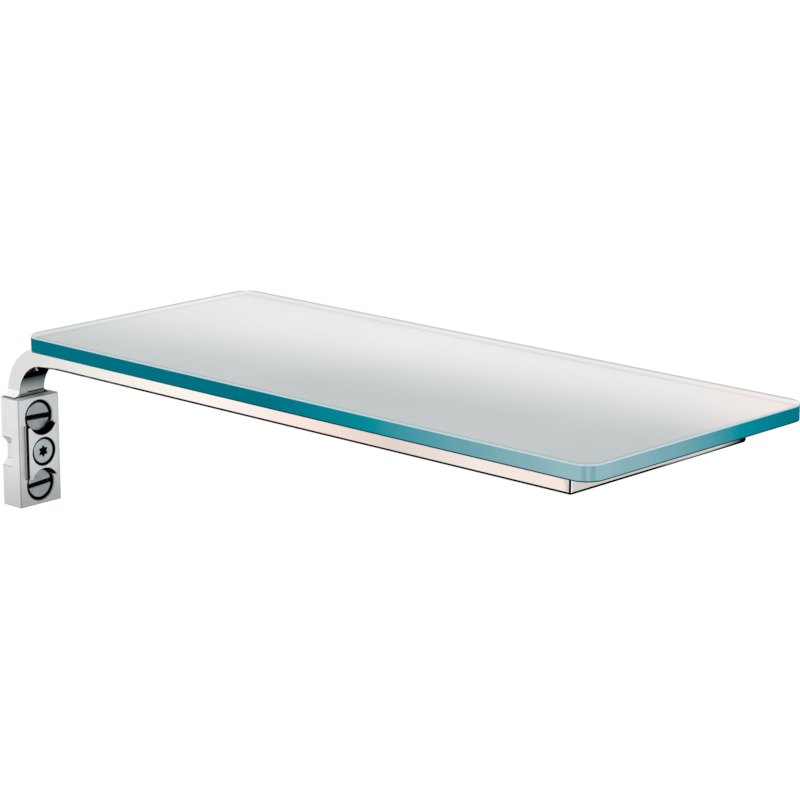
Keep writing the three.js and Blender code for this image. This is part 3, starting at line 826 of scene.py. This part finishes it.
def camera():
    data = bpy.data.cameras.new("camera")
    data.lens = CAMERA_LENS
    data.sensor_width = 36.0
    data.clip_end = 100.0
    thing = bpy.data.objects.new("camera", data)
    level = math.cos(CAMERA_ELEVATION)
    back = Vector((
        math.sin(CAMERA_AZIMUTH) * level, -math.cos(CAMERA_AZIMUTH) * level, math.sin(CAMERA_ELEVATION),
    ))
    thing.rotation_mode = "QUATERNION"
    thing.rotation_quaternion = (-back).to_track_quat("-Z", "Y")
    thing.location = CAMERA_PLACE
    bpy.context.scene.collection.objects.link(thing)
    bpy.context.scene.camera = thing


def sheet_object(name, centre, size, material, turn=ALL_AXES):
    shape = bmesh.new()
    bmesh.ops.create_grid(shape, x_segments=1, y_segments=1, size=0.5)
    bmesh.ops.scale(shape, vec=(size[0], size[1], 1.0), verts=shape.verts)
    bmesh.ops.transform(shape, matrix=Matrix.Translation(centre) @ turn, verts=shape.verts)
    mesh = bpy.data.meshes.new(name)
    shape.to_mesh(mesh)
    shape.free()
    mesh.materials.append(material)
    thing = bpy.data.objects.new(name, mesh)
    bpy.context.scene.collection.objects.link(thing)
    return thing


def floor():
    finish = Finish("pale_floor", colours().floor, 0.9)
    patches = finish.noise(0.5)
    base = colours().floor
    finish.link(finish.mixed(finish.ranged(patches, 0, 1), base, shaded(base, 0.99)), "Base Color")
    sheet_object("floor", (0, 0, FLOOR_HEIGHT), (FLOOR_SIZE, FLOOR_SIZE), finish.material)


UPRIGHT_FACING_Y = Matrix.Rotation(math.radians(90), 4, "X")
UPRIGHT_FACING_X = Matrix.Rotation(math.radians(90), 4, "Y")


def card(name, centre, size, tones, turn=ALL_AXES):
    """A flat card that only reflections see. Its tones are pairs of a place along X and a colour."""
    material = bpy.data.materials.new(name)
    material.use_nodes = True
    tree = material.node_tree
    tree.nodes.clear()
    output = tree.nodes.new("ShaderNodeOutputMaterial")
    glow = tree.nodes.new("ShaderNodeEmission")
    tree.links.new(glow.outputs[0], output.inputs["Surface"])
    glow.inputs["Color"].default_value = (*tones[0][1], 1.0)
    if len(tones) > 1:
        place = tree.nodes.new("ShaderNodeTexCoord").outputs["Object"]
        split = tree.nodes.new("ShaderNodeSeparateXYZ")
        tree.links.new(place, split.inputs[0])
        reach = tree.nodes.new("ShaderNodeMapRange")
        reach.inputs["From Min"].default_value = tones[0][0]
        reach.inputs["From Max"].default_value = tones[-1][0]
        tree.links.new(split.outputs["X"], reach.inputs["Value"])
        ramp = tree.nodes.new("ShaderNodeValToRGB")
        tree.links.new(reach.outputs["Result"], ramp.inputs["Fac"])
        tree.links.new(ramp.outputs["Color"], glow.inputs["Color"])
        stops = ramp.color_ramp.elements
        for x, tone in tones[1:-1]:
            stops.new((x - tones[0][0]) / (tones[-1][0] - tones[0][0])).color = (*tone, 1.0)
        stops[0].color = (*tones[0][1], 1.0)
        stops[-1].color = (*tones[-1][1], 1.0)
    sheet = sheet_object(name, centre, size, material, turn)
    sheet.visible_camera = False
    sheet.visible_diffuse = False
    sheet.visible_shadow = False
    sheet.visible_transmission = False
    return sheet


def studio():
    """Plain white surroundings, and cards that only polished metal sees."""
    scene = bpy.context.scene
    scene.view_settings.view_transform = "Standard"
    world = bpy.data.worlds.new("surroundings")
    scene.world = world
    world.use_nodes = True
    world.node_tree.nodes["Background"].inputs["Color"].default_value = (1.0, 1.0, 1.0, 1.0)
    world.node_tree.nodes["Background"].inputs["Strength"].default_value = 1.05
    black, cool = (0.0, 0.0, 0.0), (0.37, 0.41, 0.43)
    card("under_card", (0.025, 0.075, -0.16), (1.25, 0.75, 1), [(0, black)])
    low, high = BLOCK_LOW, BLOCK_HIGH
    above = high.z + 0.1 * MM
    card("block_card", (0.5 * high.x, 0.5 * high.y, above), (high.x, high.y, 1), [(0, black)])
    card("leg_card", (0.4 * high.x, 0.5 * low.y, above), (0.8 * high.x, high.y, 1), [(0, black)])
    bend = [(0.02, black), (0.053, (0.07, 0.09, 0.1)), (0.098, (0.27, 0.3, 0.315)), (0.115, cool)]
    card("bend_card", (0.025, 0.10, -0.055), (0.35, 0.17, 1), bend, UPRIGHT_FACING_Y)
    warm = [
        (-0.34, (0.83, 0.83, 0.83)), (-0.23, (1.06, 1.03, 0.97)), (-0.15, (1.08, 1.01, 0.99)),
        (-0.09, (1.05, 0.89, 0.81)), (-0.024, (0.86, 0.75, 0.69)), (0.04, (1.02, 0.92, 0.88)),
        (0.1042, (1.05, 0.92, 0.84)), (0.106, (0.3, 0.29, 0.28)), (0.1075, (1.05, 1.03, 1.0)),
    ]
    card("warm_card", (-0.12, -0.3, -0.06), (0.56, 0.14, 1), warm, UPRIGHT_FACING_Y)
    fade = [(0.368, black), (0.379, (0.7, 0.69, 0.68))]
    card("rail_end_card", (0.371, 0.125, 0.02), (0.034, 0.06, 1), fade, UPRIGHT_FACING_Y)
    card("front_corner_card", (0.665, -0.3, -0.06), (1.06, 0.24, 1), [(0, black)], UPRIGHT_FACING_Y)
    card("far_corner_card", (0.17, 1.6, -0.3), (1.5, 1.0, 1), [(0, black)], UPRIGHT_FACING_Y)
    card("end_face_card", (1.7, 1.5, -0.4), (1.4, 1.4, 1), [(0, (0.7, 0.69, 0.68))], UPRIGHT_FACING_Y)


# ---- operators ------------------------------------------------------------------------------------


class SHELF_OT_glass(bpy.types.Operator):
    """Model the glass plate"""
    bl_idname = "shelf.glass"
    bl_label = "Glass plate"
    bl_options = {"REGISTER", "UNDO"}

    def execute(self, context):
        glass_plate()
        return {"FINISHED"}


class SHELF_OT_bracket(bpy.types.Operator):
    """Model the bent bar with its foot and the frame of rails"""
    bl_idname = "shelf.bracket"
    bl_label = "Bracket and frame"
    bl_options = {"REGISTER", "UNDO"}

    def execute(self, context):
        bracket_and_frame()
        return {"FINISHED"}


class SHELF_OT_block(bpy.types.Operator):
    """Model the mounting block"""
    bl_idname = "shelf.block"
    bl_label = "Mounting block"
    bl_options = {"REGISTER", "UNDO"}

    def execute(self, context):
        mounting_block()
        return {"FINISHED"}


class SHELF_OT_jaw(bpy.types.Operator):
    """Model the locking jaw and finish its two strips"""
    bl_idname = "shelf.jaw"
    bl_label = "Locking jaw"
    bl_options = {"REGISTER", "UNDO"}

    def execute(self, context):
        locking_jaw()
        coat_nodes(STRIP_NODES, rubber_finish())
        return {"FINISHED"}


class SHELF_OT_screws(bpy.types.Operator):
    """Model the two slotted wall nuts and the clamp screw"""
    bl_idname = "shelf.screws"
    bl_label = "Nuts and clamp screw"
    bl_options = {"REGISTER", "UNDO"}

    def execute(self, context):
        wall_nut("wall_nut_upper", "wall_nut_upper", -2)
        wall_nut("wall_nut_lower", "wall_nut_lower", 4)
        clamp_screw()
        return {"FINISHED"}


class SHELF_OT_hidden(bpy.types.Operator):
    """Finish the dowels, guide pins and bonding pads"""
    bl_idname = "shelf.hidden"
    bl_label = "Pins and pads"
    bl_options = {"REGISTER", "UNDO"}

    def execute(self, context):
        coat_nodes(PIN_NODES, ground_steel_finish())
        coat_nodes(PAD_NODES, film_finish())
        return {"FINISHED"}


class SHELF_OT_stage(bpy.types.Operator):
    """Set up the floor, the light and the camera"""
    bl_idname = "shelf.stage"
    bl_label = "Stage"
    bl_options = {"REGISTER", "UNDO"}

    def execute(self, context):
        camera()
        floor()
        studio()
        return {"FINISHED"}


OPERATORS = (
    SHELF_OT_stage, SHELF_OT_glass, SHELF_OT_bracket, SHELF_OT_block, SHELF_OT_jaw, SHELF_OT_screws, SHELF_OT_hidden,
)


class SHELF_PT_panel(bpy.types.Panel):
    """Lists the shelf's pieces, sizes and colours"""
    bl_idname = "SHELF_PT_panel"
    bl_label = "Wall shelf"
    bl_space_type = "VIEW_3D"
    bl_region_type = "UI"
    bl_category = "Wall shelf"

    def draw(self, context):
        for operator in OPERATORS:
            self.layout.operator(operator.bl_idname)
        for group in (context.scene.shelf_sizes, context.scene.shelf_colours):
            for name in group.__annotations__:
                self.layout.prop(group, name)


CLASSES = (ShelfSizes, ShelfColours, *OPERATORS, SHELF_PT_panel)


def register():
    for item in CLASSES:
        bpy.utils.register_class(item)
    bpy.types.Scene.shelf_sizes = PointerProperty(type=ShelfSizes)
    bpy.types.Scene.shelf_colours = PointerProperty(type=ShelfColours)


def unregister():
    del bpy.types.Scene.shelf_colours
    del bpy.types.Scene.shelf_sizes
    for item in reversed(CLASSES):
        bpy.utils.unregister_class(item)


def main():
    register()
    for operator in OPERATORS:
        group, name = operator.bl_idname.split(".")
        getattr(getattr(bpy.ops, group), name)()


if __name__ == "__main__":
    main()
